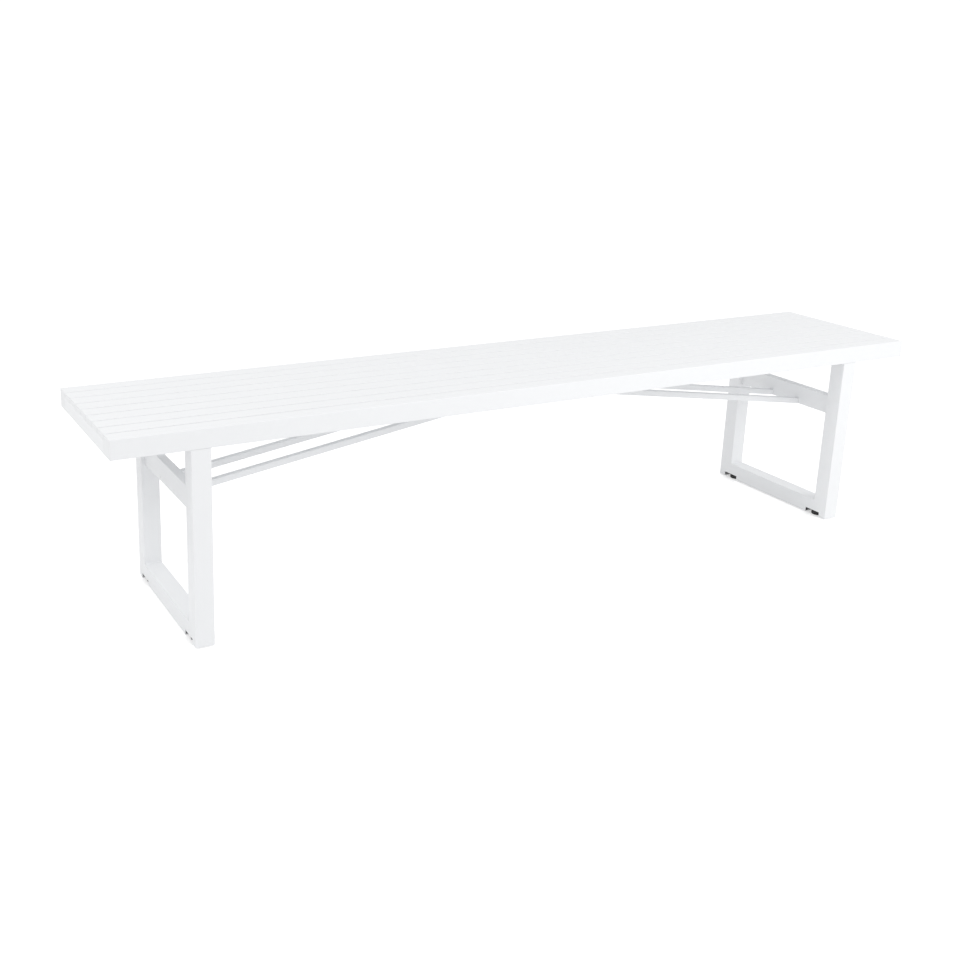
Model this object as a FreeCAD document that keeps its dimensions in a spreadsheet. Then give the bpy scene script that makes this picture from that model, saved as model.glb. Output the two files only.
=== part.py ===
import FreeCAD, Part
import math
import os
import Sketcher

# Backless garden bench in powder-coated aluminium tube, in millimetres.
# X runs along the seat, Y from the front to the back, Z up. The origin is on the floor
# under the middle of the seat. The seat is a ladder of two rails and five bearers with seven
# slats laid between the rails. Each leg is a closed loop of tube with a cross rail, and four
# braces run from the cross rails up to a plate under the middle of the seat.

doc = FreeCAD.newDocument("GardenBench")

DRIVING_SIZES = {
    # seat
    "seat_length": 2030.0,
    "seat_height": 452.0,
    "slat_count": 7,
    "slat_width": 40.0,
    "slat_gap": 3.0,
    "slat_thickness": 12.0,
    "slat_wall": 1.5,
    "slat_corner": 1.2,
    "bearer_width": 40.0,
    "bearer_wall": 2.0,
    "bearer_corner": 1.2,
    # the square tube of the rails, posts and bottom rails
    "tube_side": 40.0,
    "tube_wall": 2.0,
    "tube_corner": 1.2,
    "inner_corner": 0.5,
    # plastic plugs that close the tube ends
    "cap_flange": 2.0,
    "cap_spigot": 14.0,
    "cap_wall": 2.0,
    "plug_clearance": 0.2,
    # legs
    "leg_inset": 155.0,
    "foot_gap": 2.0,
    "cross_level": 269.5,
    "cross_height": 47.0,
    "cross_thickness": 20.0,
    "cross_wall": 2.0,
    "cross_corner": 1.2,
    "top_plate_thickness": 5.0,
    # braces
    "brace_side": 14.0,
    "brace_wall": 1.5,
    "brace_corner": 1.5,
    "brace_spread": 45.0,
    "brace_parting": 2.0,
    "brace_bite": 2.5,
    "brace_plug_length": 20.0,
    "brace_plate_thickness": 3.0,
    "brace_plate_margin": 10.0,
    # bolts between leg plates and bearers
    "leg_bolt_radius": 4.0,
    "leg_bolt_flats": 13.0,
    "leg_bolt_head": 5.3,
    "leg_bolt_spacing": 100.0,
    "leg_nut_height": 6.5,
    "leg_washer_radius": 8.0,
    "leg_washer_thickness": 1.6,
    # bolts between the brace plate and the middle bearer
    "plate_bolt_radius": 3.0,
    "plate_bolt_flats": 10.0,
    "plate_bolt_head": 4.0,
    "plate_bolt_spacing": 40.0,
    "plate_nut_height": 5.0,
    # countersunk screws that hold the lower ends of the braces
    "screw_radius": 2.5,
    "screw_key": 3.0,
    "screw_socket": 2.5,
    "screw_reach": 16.0,
    "screw_rise": 2.0,
    "bolt_clearance": 0.4,
    "bolt_projection": 2.5,
    # levelling glides
    "notch_length": 45.0,
    "notch_height": 11.5,
    "notch_inset": 42.5,
    "housing_height": 24.0,
    "housing_drop": 1.5,
    "glide_radius": 15.0,
    "glide_chamfer": 1.5,
    "glide_rim": 7.7,
    "glide_neck_radius": 11.5,
    "glide_gap": 0.3,
    "glide_flutes": 12,
    "flute_radius": 1.6,
    "stud_radius": 3.92,
    "stud_clearance": 0.08,
    "stud_seat": 4.0,
    "stud_length": 34.0,
    "stud_tip": 0.8,
}

MARGIN = 5.0          # how far a cutting outline runs past the metal that it cuts
CUT_TOLERANCE = 1e-3  # smallest volume, in cubic millimetres, that counts as a cut

sheet = doc.addObject("Spreadsheet::Sheet", "Sizes")
for row, (alias, number) in enumerate(DRIVING_SIZES.items(), start=1):
    sheet.set(f"A{row}", alias)
    sheet.set(f"B{row}", str(number))
    sheet.setAlias(f"B{row}", alias)
doc.recompute()


class Measure:
    """A size as a number, together with the sheet expression that gives it."""

    def __init__(self, number, text):
        self.number = number
        self.text = text

    def __add__(self, other):
        other = measure(other)
        return Measure(self.number + other.number, f"({self.text} + {other.text})")

    def __sub__(self, other):
        other = measure(other)
        return Measure(self.number - other.number, f"({self.text} - {other.text})")

    def __mul__(self, other):
        other = measure(other)
        return Measure(self.number * other.number, f"({self.text} * {other.text})")

    def __truediv__(self, other):
        other = measure(other)
        return Measure(self.number / other.number, f"({self.text} / {other.text})")

    def __radd__(self, other):
        return measure(other) + self

    def __rsub__(self, other):
        return measure(other) - self

    def __rmul__(self, other):
        return measure(other) * self

    def __neg__(self):
        return Measure(-self.number, f"(0 - {self.text})")


def measure(size):
    """Takes a Measure, or a plain number, and gives a Measure."""
    return size if isinstance(size, Measure) else Measure(size, f"({size})")


def root(size):
    return Measure(math.sqrt(size.number), f"sqrt({size.text})")


def cell(alias):
    """The Measure that reads one driving size from the sheet."""
    return Measure(float(sheet.get(alias)), f"Sizes.{alias}")


def bind(item, path, size):
    """Ties one property of an object to its size."""
    item.setExpression(path, measure(size).text)


# ---------------------------------------------------------------- shared ways of making pieces

nodes = []


def keep(piece):
    """Lists a piece as one that is written to a file of its own."""
    nodes.append(piece)
    return piece


def place(piece, x=0, y=0, z=0, turn=0):
    """Puts a piece at x, y, z, turned about the vertical by so many degrees."""
    piece.Placement = FreeCAD.Placement(
        FreeCAD.Vector(0, 0, 0), FreeCAD.Rotation(FreeCAD.Vector(0, 0, 1), turn)
    )
    for axis, size in (("x", x), ("y", y), ("z", z)):
        bind(piece, f"Placement.Base.{axis}", size)
    return piece


def new_body(label):
    body = doc.addObject("PartDesign::Body", label)
    body.Label = label
    return body


def sketch_on(body, role, name, lift=0):
    """A sketch on one of the body's own origin planes, or lifted along the plane's normal."""
    plane = next(item for item in body.Origin.OriginFeatures if item.Role == role)
    sketch = body.newObject("Sketcher::SketchObject", name)
    sketch.AttachmentSupport = [(plane, "")]
    sketch.MapMode = "FlatFace"
    bind(sketch, "AttachmentOffset.Base.z", lift)
    return sketch


def add_size(sketch, constraint, size):
    index = sketch.addConstraint(constraint)
    bind(sketch, f"Constraints[{index}]", size)


def draw_outline(sketch, corners):
    """A closed outline of straight lines whose corners are pairs of Measures."""
    corners = [(measure(x), measure(y)) for x, y in corners]
    count = len(corners)
    vectors = [FreeCAD.Vector(x.number, y.number, 0) for x, y in corners]
    lines = [
        sketch.addGeometry(Part.LineSegment(vectors[i], vectors[(i + 1) % count]), False)
        for i in range(count)
    ]
    for i in range(count):
        sketch.addConstraint(Sketcher.Constraint("Coincident", lines[i], 2, lines[(i + 1) % count], 1))
    for line, (x, y) in zip(lines, corners):
        add_size(sketch, Sketcher.Constraint("DistanceX", -1, 1, line, 1, x.number), x)
        add_size(sketch, Sketcher.Constraint("DistanceY", -1, 1, line, 1, y.number), y)


def draw_rounded_box(sketch, width, height, corner):
    """A rectangle with round corners, centred on the sketch's origin."""
    width, height, corner = measure(width), measure(height), measure(corner)
    x, y, r = width.number / 2, height.number / 2, corner.number
    spans = [
        ((r - x, -y), (x - r, -y)),
        ((x, r - y), (x, y - r)),
        ((x - r, y), (r - x, y)),
        ((-x, y - r), (-x, r - y)),
    ]
    sides = [
        sketch.addGeometry(
            Part.LineSegment(FreeCAD.Vector(*start, 0), FreeCAD.Vector(*end, 0)), False
        )
        for start, end in spans
    ]
    centres = [(x - r, r - y), (x - r, y - r), (r - x, y - r), (r - x, r - y)]
    arcs = []
    for quarter, centre in enumerate(centres):
        circle = Part.Circle(FreeCAD.Vector(*centre, 0), FreeCAD.Vector(0, 0, 1), r)
        start = (quarter - 1) * math.pi / 2
        arcs.append(
            sketch.addGeometry(Part.ArcOfCircle(circle, start, start + math.pi / 2), False)
        )
    for i in range(4):
        sketch.addConstraint(Sketcher.Constraint("Tangent", sides[i], 2, arcs[i], 1))
        sketch.addConstraint(Sketcher.Constraint("Tangent", arcs[i], 2, sides[(i + 1) % 4], 1))
        if i:
            sketch.addConstraint(Sketcher.Constraint("Equal", arcs[0], arcs[i]))
    for i in (0, 2):
        sketch.addConstraint(Sketcher.Constraint("Horizontal", sides[i]))
        sketch.addConstraint(Sketcher.Constraint("Vertical", sides[i + 1]))
    sketch.addConstraint(Sketcher.Constraint("Symmetric", arcs[0], 3, arcs[2], 3, -1, 1))
    add_size(sketch, Sketcher.Constraint("DistanceX", sides[3], 1, sides[1], 1, width.number), width)
    add_size(sketch, Sketcher.Constraint("DistanceY", sides[0], 1, sides[2], 1, height.number), height)
    add_size(sketch, Sketcher.Constraint("Radius", arcs[0], corner.number), corner)


def draw_circle(sketch, x, y, radius):
    x, y, radius = measure(x), measure(y), measure(radius)
    centre = FreeCAD.Vector(x.number, y.number, 0)
    circle = sketch.addGeometry(
        Part.Circle(centre, FreeCAD.Vector(0, 0, 1), radius.number), False
    )
    add_size(sketch, Sketcher.Constraint("DistanceX", -1, 1, circle, 3, x.number), x)
    add_size(sketch, Sketcher.Constraint("DistanceY", -1, 1, circle, 3, y.number), y)
    add_size(sketch, Sketcher.Constraint("Radius", circle, radius.number), radius)


def pad(body, sketch, length, both_ways=True):
    """Extrudes a sketch: half to each side of its plane, or all of it along the normal."""
    feature = body.newObject("PartDesign::Pad", "pad")
    feature.Profile = sketch
    feature.Midplane = both_ways
    bind(feature, "Length", length)
    body.Tip = feature
    doc.recompute()
    return feature


def pocket(body, sketch, length, both_ways=True, along_normal=False, taper=0):
    """Cuts a sketch out of a body, and makes sure that the cut removed metal."""
    before = body.Shape.Volume
    feature = body.newObject("PartDesign::Pocket", "pocket")
    feature.Profile = sketch
    feature.Midplane = both_ways
    feature.Reversed = along_normal
    feature.TaperAngle = taper
    bind(feature, "Length", length)
    body.Tip = feature
    doc.recompute()
    if before - body.Shape.Volume < CUT_TOLERANCE:
        raise RuntimeError(f"{body.Label}: {sketch.Label} cuts nothing")
    return feature


def tube(label, role, width, height, wall, corner, length):
    """A straight tube with round corners, its section on one origin plane."""
    body = new_body(label)
    section = sketch_on(body, role, "section")
    draw_rounded_box(section, width, height, corner)
    draw_rounded_box(section, width - 2 * wall, height - 2 * wall, inner_corner)
    pad(body, section, length)
    return body


def cylinder(name, radius, height, z=0):
    piece = doc.addObject("Part::Cylinder", name)
    bind(piece, "Radius", radius)
    bind(piece, "Height", height)
    return place(piece, z=z)


def hexagon(name, flats, height, z=0):
    """A six-sided prism, measured across its flats."""
    piece = doc.addObject("Part::Prism", name)
    piece.Polygon = 6
    bind(piece, "Circumradius", flats / math.sqrt(3))
    bind(piece, "Height", height)
    return place(piece, z=z)


def join(name, *pieces):
    whole = doc.addObject("Part::MultiFuse", name)
    whole.Shapes = list(pieces)
    return whole


def remove(name, base, tool):
    rest = doc.addObject("Part::Cut", name)
    rest.Base = base
    rest.Tool = tool
    return rest


def group(label, pieces):
    """Like pieces that share one node, each of them still a solid of its own."""
    whole = doc.addObject("Part::Compound", label)
    whole.Label = label
    whole.Links = pieces
    return keep(whole)


# ------------------------------------------------------------------------- shared places

tube_side = cell("tube_side")
tube_wall = cell("tube_wall")
tube_corner = cell("tube_corner")
inner_corner = cell("inner_corner")
slat_count = int(cell("slat_count").number)
slat_width = cell("slat_width")
slat_gap = cell("slat_gap")
slat_thickness = cell("slat_thickness")
seat_length = cell("seat_length")
seat_height = cell("seat_height")
cap_flange = cell("cap_flange")
foot_gap = cell("foot_gap")

seat_depth = 2 * tube_side + cell("slat_count") * (slat_width + slat_gap) + slat_gap
seat_underside = seat_height - tube_side
bay = seat_depth - 2 * tube_side
rail_y = (seat_depth - tube_side) / 2
leg_x = seat_length / 2 - cell("leg_inset") - tube_side / 2
SIDES = (("left", -1), ("right", 1))
ROWS = (("front", -1), ("back", 1))

# ------------------------------------------------------------------------------- seat frame

# The front and back rails are full-length square tubes. They stop short of the seat's ends
# by the thickness of the plugs' flanges.
rail_length = seat_length - 2 * cap_flange
for row_name, row_sign in ROWS:
    rail = tube(f"{row_name}_rail", "YZ_Plane", tube_side, tube_side, tube_wall, tube_corner, rail_length)
    keep(place(rail, y=row_sign * rail_y, z=seat_height - tube_side / 2))

# Five bearers join the rails. They are lower than the rails by the thickness of a slat.
bearer_width = cell("bearer_width")
bearer_wall = cell("bearer_wall")
bearer_height = tube_side - slat_thickness
bearer_z = seat_underside + bearer_height / 2
end_x = (seat_length - bearer_width) / 2
leg_bolt_hole = cell("leg_bolt_radius") + cell("bolt_clearance")
leg_bolt_rows = [row * cell("leg_bolt_spacing") for row in (-1, 0, 1)]
plate_bolt_hole = cell("plate_bolt_radius") + cell("bolt_clearance")
plate_bolt_rows = [row * cell("plate_bolt_spacing") / 2 for row in (-1, 1)]


def bearer(label, x, bolt_rows=(), hole_radius=None):
    """A cross tube, with bolt holes in its lower wall where something is bolted under it."""
    body = tube(
        label, "XZ_Plane", bearer_width, bearer_height, bearer_wall, cell("bearer_corner"), bay
    )
    if bolt_rows:
        holes = sketch_on(body, "XY_Plane", "bolt_holes")
        for y in bolt_rows:
            draw_circle(holes, 0, y, hole_radius)
        pocket(body, holes, bearer_height, both_ways=False)
    return keep(place(body, x=x, z=bearer_z))


for side_name, side in SIDES:
    bearer(f"{side_name}_end_bearer", side * end_x)
    bearer(f"{side_name}_leg_bearer", side * leg_x, leg_bolt_rows, leg_bolt_hole)
    bearer(f"{side_name}_mid_bearer", side * leg_x / 2)
bearer("centre_bearer", 0, plate_bolt_rows, plate_bolt_hole)

# Seven flat tubes lie on the bearers, level with the tops of the rails.
slat_wall = cell("slat_wall")
slat_corner = cell("slat_corner")
slat_z = seat_height - slat_thickness / 2
slat_rows = [
    (i - (slat_count - 1) / 2) * (slat_width + slat_gap) for i in range(slat_count)
]
for number, y in enumerate(slat_rows, start=1):
    slat = tube(
        f"slat_{number}", "YZ_Plane", slat_width, slat_thickness, slat_wall, slat_corner, rail_length
    )
    keep(place(slat, y=y, z=slat_z))


def end_cap(name, width, height, wall, corner):
    """A plug with a flange as large as the tube and a hollow spigot that fits inside it."""
    body = new_body(name)
    face = sketch_on(body, "YZ_Plane", "flange")
    draw_rounded_box(face, width, height, corner)
    pad(body, face, cap_flange, both_ways=False)
    slack = 2 * (wall + cell("plug_clearance"))
    ring = sketch_on(body, "YZ_Plane", "spigot")
    cap_wall = cell("cap_wall")
    draw_rounded_box(ring, width - slack, height - slack, inner_corner)
    draw_rounded_box(
        ring, width - slack - 2 * cap_wall, height - slack - 2 * cap_wall, inner_corner
    )
    spigot = pad(body, ring, cell("cap_spigot"), both_ways=False)
    spigot.Reversed = True
    return body


def end_caps(label, rows, z, width, height, wall, corner):
    """One plug in each end of every tube of a row."""
    caps = []
    for side_name, side in SIDES:
        for number, y in enumerate(rows, start=1):
            cap = end_cap(f"{label}_{side_name}_{number}", width, height, wall, corner)
            turn = 0 if side > 0 else 180
            caps.append(place(cap, x=side * rail_length / 2, y=y, z=z, turn=turn))
    group(label, caps)


end_caps(
    "rail_end_caps", [-rail_y, rail_y], seat_height - tube_side / 2,
    tube_side, tube_side, tube_wall, tube_corner,
)
end_caps("slat_end_caps", slat_rows, slat_z, slat_width, slat_thickness, slat_wall, slat_corner)

# ------------------------------------------------------------------------------------- legs

post_height = seat_underside - foot_gap
cross_thickness = cell("cross_thickness")
cross_height = cell("cross_height")
cross_bottom = foot_gap + cell("cross_level")
cross_z = cross_bottom + cross_height / 2
brace_side = cell("brace_side")
brace_spread = cell("brace_spread")
screw_z = cross_bottom + brace_side / 2 + cell("screw_rise")
screw_radius = cell("screw_radius")
screw_hole = screw_radius + cell("bolt_clearance")
screw_head_depth = cell("cross_wall")          # the head is a 90 degree cone, flush with the wall
screw_head_radius = screw_hole + screw_head_depth
notch_length = cell("notch_length")
notch_height = cell("notch_height")
glide_y = seat_depth / 2 - cell("notch_inset")
top_plate_thickness = cell("top_plate_thickness")


def post(label):
    """An upright tube whose lower end is mitred. Its outer side faces the front."""
    body = new_body(label)
    section = sketch_on(body, "XY_Plane", "section")
    draw_rounded_box(section, tube_side, tube_side, tube_corner)
    draw_rounded_box(
        section, tube_side - 2 * tube_wall, tube_side - 2 * tube_wall, inner_corner
    )
    pad(body, section, post_height, both_ways=False)
    mitre = sketch_on(body, "YZ_Plane", "mitre")
    outer = -tube_side / 2 - MARGIN
    inner = tube_side / 2 + MARGIN
    draw_outline(mitre, [(outer, -MARGIN), (inner, -MARGIN), (inner, tube_side + MARGIN)])
    pocket(body, mitre, tube_side + MARGIN)
    return body


def bottom_rail(label):
    """The tube along the floor, mitred to both posts, with a notch for each glide."""
    body = tube(label, "XZ_Plane", tube_side, tube_side, tube_wall, tube_corner, seat_depth)
    for row_name, row_sign in ROWS:
        mitre = sketch_on(body, "YZ_Plane", f"{row_name}_mitre")
        tip = row_sign * (seat_depth / 2 + MARGIN)
        heel = row_sign * (seat_depth / 2 - tube_side - MARGIN)
        low = -tube_side / 2 - MARGIN
        high = tube_side / 2 + MARGIN
        draw_outline(mitre, [(tip, low), (tip, high), (heel, high)])
        pocket(body, mitre, tube_side + MARGIN)
    for row_name, row_sign in ROWS:
        notch = sketch_on(body, "YZ_Plane", f"{row_name}_notch")
        near = row_sign * glide_y - notch_length / 2
        far = row_sign * glide_y + notch_length / 2
        low = -tube_side / 2 - MARGIN
        high = notch_height - tube_side / 2
        draw_outline(notch, [(near, low), (far, low), (far, high), (near, high)])
        pocket(body, notch, tube_side + MARGIN)
    return body


def cross_rail(label):
    """The flat tube between the posts. A screw hole for each brace is countersunk on the +X side."""
    body = tube(
        label, "XZ_Plane", cross_thickness, cross_height,
        cell("cross_wall"), cell("cross_corner"), bay,
    )
    holes = sketch_on(body, "YZ_Plane", "screw_holes")
    for row_name, row_sign in ROWS:
        draw_circle(holes, row_sign * brace_spread, screw_z - cross_z, screw_hole)
    pocket(body, holes, cross_thickness + MARGIN)
    sinks = sketch_on(body, "YZ_Plane", "countersinks", cross_thickness / 2)
    for row_name, row_sign in ROWS:
        draw_circle(sinks, row_sign * brace_spread, screw_z - cross_z, screw_head_radius)
    pocket(body, sinks, screw_head_depth, both_ways=False, taper=-45)
    return body


def top_plate(label):
    """The flat bar welded between the tops of the posts and bolted to the bearer above."""
    body = new_body(label)
    outline = sketch_on(body, "XY_Plane", "outline")
    half_width = tube_side / 2
    half_length = bay / 2
    draw_outline(outline, [
        (-half_width, -half_length), (half_width, -half_length),
        (half_width, half_length), (-half_width, half_length),
    ])
    for y in leg_bolt_rows:
        draw_circle(outline, 0, y, leg_bolt_hole)
    pad(body, outline, top_plate_thickness, both_ways=False)
    return body


for side_name, side in SIDES:
    x = side * leg_x
    for row_name, row_sign in ROWS:
        upright = post(f"{side_name}_{row_name}_post")
        turn = 0 if row_sign < 0 else 180
        keep(place(upright, x=x, y=row_sign * rail_y, z=foot_gap, turn=turn))
    keep(place(bottom_rail(f"{side_name}_bottom_rail"), x=x, z=foot_gap + tube_side / 2))
    turn = 0 if side > 0 else 180
    keep(place(cross_rail(f"{side_name}_cross_rail"), x=x, z=cross_z, turn=turn))
    keep(place(top_plate(f"{side_name}_top_plate"), x=x, z=seat_underside - top_plate_thickness))


def post_plug(name):
    """A block that closes the open top of a post, level with the tube's end."""
    body = new_body(name)
    outline = sketch_on(body, "XY_Plane", "outline")
    side_length = tube_side - 2 * (tube_wall + cell("plug_clearance"))
    draw_rounded_box(outline, side_length, side_length, inner_corner)
    plug = pad(body, outline, cell("cap_spigot"), both_ways=False)
    plug.Reversed = True
    return body


group("post_top_plugs", [
    place(
        post_plug(f"{side_name}_{row_name}_post_plug"),
        x=side * leg_x, y=row_sign * rail_y, z=seat_underside,
    )
    for side_name, side in SIDES for row_name, row_sign in ROWS
])

# ---------------------------------------------------------------------------------- braces

brace_wall = cell("brace_wall")
plate_underside = seat_underside - cell("brace_plate_thickness")
brace_foot_x = leg_x - cross_thickness / 2
brace_foot_z = cross_bottom + brace_side / 2
brace_head_z = plate_underside - brace_side / 2 + cell("brace_bite")
brace_slope = (brace_head_z - brace_foot_z) / brace_foot_x
slope_length = root(1 + brace_slope * brace_slope)
brace_upright = brace_side * slope_length     # the bar's thickness, measured straight up
brace_wall_upright = brace_wall * slope_length


def brace_line(x, offset):
    """Height of a line along the brace at x, so far above the brace's axis."""
    return brace_foot_z + brace_slope * (brace_foot_x - x) + offset


def brace(label):
    """A square tube that rises from the cross rail to the plate under the seat's middle."""
    body = new_body(label)
    outline = sketch_on(body, "XZ_Plane", "outline")
    half = brace_upright / 2
    parting = cell("brace_parting")
    contact_x = brace_foot_x - (plate_underside - brace_foot_z - half) / brace_slope
    draw_outline(outline, [
        (brace_foot_x, brace_line(brace_foot_x, -half)),
        (brace_foot_x, brace_line(brace_foot_x, half)),
        (contact_x, plate_underside),
        (parting, plate_underside),
        (parting, brace_line(parting, -half)),
    ])
    bar = pad(body, outline, brace_side)
    long_edges = [
        f"Edge{i}" for i, edge in enumerate(bar.Shape.Edges, start=1)
        if edge.Length > brace_foot_x.number / 2
    ]
    rounding = body.newObject("PartDesign::Fillet", "long_corners")
    rounding.Base = (bar, long_edges)
    bind(rounding, "Radius", cell("brace_corner"))
    body.Tip = rounding
    doc.recompute()
    hollow = sketch_on(body, "XZ_Plane", "hollow")
    reach = half - brace_wall_upright
    outer_x = brace_foot_x + MARGIN
    inner_x = parting - MARGIN
    draw_outline(hollow, [
        (outer_x, brace_line(outer_x, -reach)),
        (outer_x, brace_line(outer_x, reach)),
        (inner_x, brace_line(inner_x, reach)),
        (inner_x, brace_line(inner_x, -reach)),
    ])
    pocket(body, hollow, brace_side - 2 * brace_wall)
    return body


def foot_plug(name):
    """The threaded block fixed inside the lower end of a brace."""
    body = new_body(name)
    outline = sketch_on(body, "XZ_Plane", "outline")
    reach = brace_upright / 2 - brace_wall_upright - cell("plug_clearance") / 2
    inner_x = brace_foot_x - cell("brace_plug_length")
    draw_outline(outline, [
        (brace_foot_x, brace_line(brace_foot_x, -reach)),
        (brace_foot_x, brace_line(brace_foot_x, reach)),
        (inner_x, brace_line(inner_x, reach)),
        (inner_x, brace_line(inner_x, -reach)),
    ])
    pad(body, outline, brace_side - 2 * brace_wall - cell("plug_clearance"))
    bore = sketch_on(body, "YZ_Plane", "bore")
    draw_circle(bore, 0, screw_z, screw_radius)
    pocket(body, bore, 2 * (brace_foot_x + MARGIN))
    return body


def brace_screw(name):
    """A countersunk screw with a hexagon socket. Its shank points along -X."""
    body = new_body(name)
    profile = sketch_on(body, "XZ_Plane", "profile")
    shank = cross_thickness + cell("screw_reach")
    draw_outline(profile, [
        (-shank, 0), (0, 0), (0, screw_head_radius), (-screw_head_depth, screw_hole),
        (-screw_head_depth, screw_radius), (-shank, screw_radius),
    ])
    turned = body.newObject("PartDesign::Revolution", "turned")
    turned.Profile = profile
    turned.ReferenceAxis = (profile, ["H_Axis"])
    turned.Angle = 360
    body.Tip = turned
    doc.recompute()
    socket = sketch_on(body, "YZ_Plane", "socket")
    key = cell("screw_key") / math.sqrt(3)
    draw_outline(socket, [
        (key * math.cos(i * math.pi / 3), key * math.sin(i * math.pi / 3)) for i in range(6)
    ])
    pocket(body, socket, cell("screw_socket"), both_ways=False)
    return body


foot_plugs, brace_screws = [], []
for side_name, side in SIDES:
    turn = 0 if side > 0 else 180
    for row_name, row_sign in ROWS:
        name = f"{side_name}_{row_name}"
        y = row_sign * brace_spread
        keep(place(brace(f"{name}_brace"), y=y, turn=turn))
        foot_plugs.append(place(foot_plug(f"{name}_foot_plug"), y=y, turn=turn))
        brace_screws.append(place(
            brace_screw(f"{name}_brace_screw"),
            x=side * (leg_x + cross_thickness / 2), y=y, z=screw_z, turn=turn,
        ))
group("brace_foot_plugs", foot_plugs)
group("brace_screws", brace_screws)

# The braces' upper ends are welded under one flat plate, which is bolted to the middle bearer.
plate = new_body("brace_top_plate")
plate_outline = sketch_on(plate, "XY_Plane", "outline")
plate_half_length = brace_spread + brace_side / 2 + cell("brace_plate_margin")
draw_outline(plate_outline, [
    (-bearer_width / 2, -plate_half_length), (bearer_width / 2, -plate_half_length),
    (bearer_width / 2, plate_half_length), (-bearer_width / 2, plate_half_length),
])
for y in plate_bolt_rows:
    draw_circle(plate_outline, 0, y, plate_bolt_hole)
pad(plate, plate_outline, cell("brace_plate_thickness"), both_ways=False)
keep(place(plate, z=plate_underside))

# ------------------------------------------------------------------------------- fasteners


def hex_bolt(name, radius, flats, head, shank):
    """A bolt that points up: the head's underside is at its origin."""
    return join(
        name,
        hexagon(f"{name}_head", flats, head),
        cylinder(f"{name}_shank", radius, head + shank),
    )


def hex_nut(name, flats, bore, height):
    return remove(name, hexagon(f"{name}_blank", flats, height), cylinder(f"{name}_bore", bore, height))


def washer(name, radius, bore, thickness):
    return remove(name, cylinder(f"{name}_disc", radius, thickness), cylinder(f"{name}_hole", bore, thickness))


bolt_projection = cell("bolt_projection")
nut_z = seat_underside + bearer_wall
leg_bolt_radius = cell("leg_bolt_radius")
leg_bolt_flats = cell("leg_bolt_flats")
leg_nut_height = cell("leg_nut_height")
washer_thickness = cell("leg_washer_thickness")
washer_z = seat_underside - top_plate_thickness - washer_thickness
leg_shank = washer_thickness + top_plate_thickness + bearer_wall + leg_nut_height + bolt_projection
leg_bolts, leg_washers, leg_nuts = [], [], []
for side_name, side in SIDES:
    x = side * leg_x
    for number, y in enumerate(leg_bolt_rows, start=1):
        name = f"{side_name}_leg_{number}"
        bolt = hex_bolt(f"{name}_bolt", leg_bolt_radius, leg_bolt_flats, cell("leg_bolt_head"), leg_shank)
        leg_bolts.append(place(bolt, x=x, y=y, z=washer_z - cell("leg_bolt_head")))
        disc = washer(f"{name}_washer", cell("leg_washer_radius"), leg_bolt_hole, washer_thickness)
        leg_washers.append(place(disc, x=x, y=y, z=washer_z))
        nut = hex_nut(f"{name}_nut", leg_bolt_flats, leg_bolt_radius, leg_nut_height)
        leg_nuts.append(place(nut, x=x, y=y, z=nut_z))
group("leg_bolts", leg_bolts)
group("leg_washers", leg_washers)
group("leg_nuts", leg_nuts)

plate_bolt_flats = cell("plate_bolt_flats")
plate_bolt_radius = cell("plate_bolt_radius")
plate_nut_height = cell("plate_nut_height")
plate_shank = cell("brace_plate_thickness") + bearer_wall + plate_nut_height + bolt_projection
plate_bolts, plate_nuts = [], []
for number, y in enumerate(plate_bolt_rows, start=1):
    bolt = hex_bolt(
        f"plate_bolt_{number}", plate_bolt_radius, plate_bolt_flats, cell("plate_bolt_head"), plate_shank
    )
    plate_bolts.append(place(bolt, y=y, z=plate_underside - cell("plate_bolt_head")))
    nut = hex_nut(f"plate_nut_{number}", plate_bolt_flats, plate_bolt_radius, plate_nut_height)
    plate_nuts.append(place(nut, y=y, z=nut_z))
group("brace_plate_bolts", plate_bolts)
group("brace_plate_nuts", plate_nuts)

# -------------------------------------------------------------------------- levelling glides

# Each bottom rail has a notch near either end. A plastic housing fills the tube above the
# notch and holds a nut, and the glide's stud screws up through both. At rest the glides are
# screwed fully in.
stud_radius = cell("stud_radius")
stud_bore = stud_radius + cell("stud_clearance")
housing_z = foot_gap + notch_height - cell("housing_drop")
housing_width = tube_side - 2 * (tube_wall + cell("plug_clearance"))
housing_length = notch_length - 2 * cell("plug_clearance")
housing_nut_depth = leg_nut_height + cell("housing_drop")
pad_height = housing_z - cell("glide_gap")


def glide_housing(name):
    block = doc.addObject("Part::Box", f"{name}_block")
    bind(block, "Length", housing_width)
    bind(block, "Width", housing_length)
    bind(block, "Height", cell("housing_height"))
    place(block, x=-housing_width / 2, y=-housing_length / 2)
    room = join(
        f"{name}_room",
        cylinder(f"{name}_bore", stud_bore + cell("bolt_clearance"), cell("housing_height")),
        hexagon(f"{name}_nut_seat", leg_bolt_flats, housing_nut_depth),
    )
    return remove(name, block, room)


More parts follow.
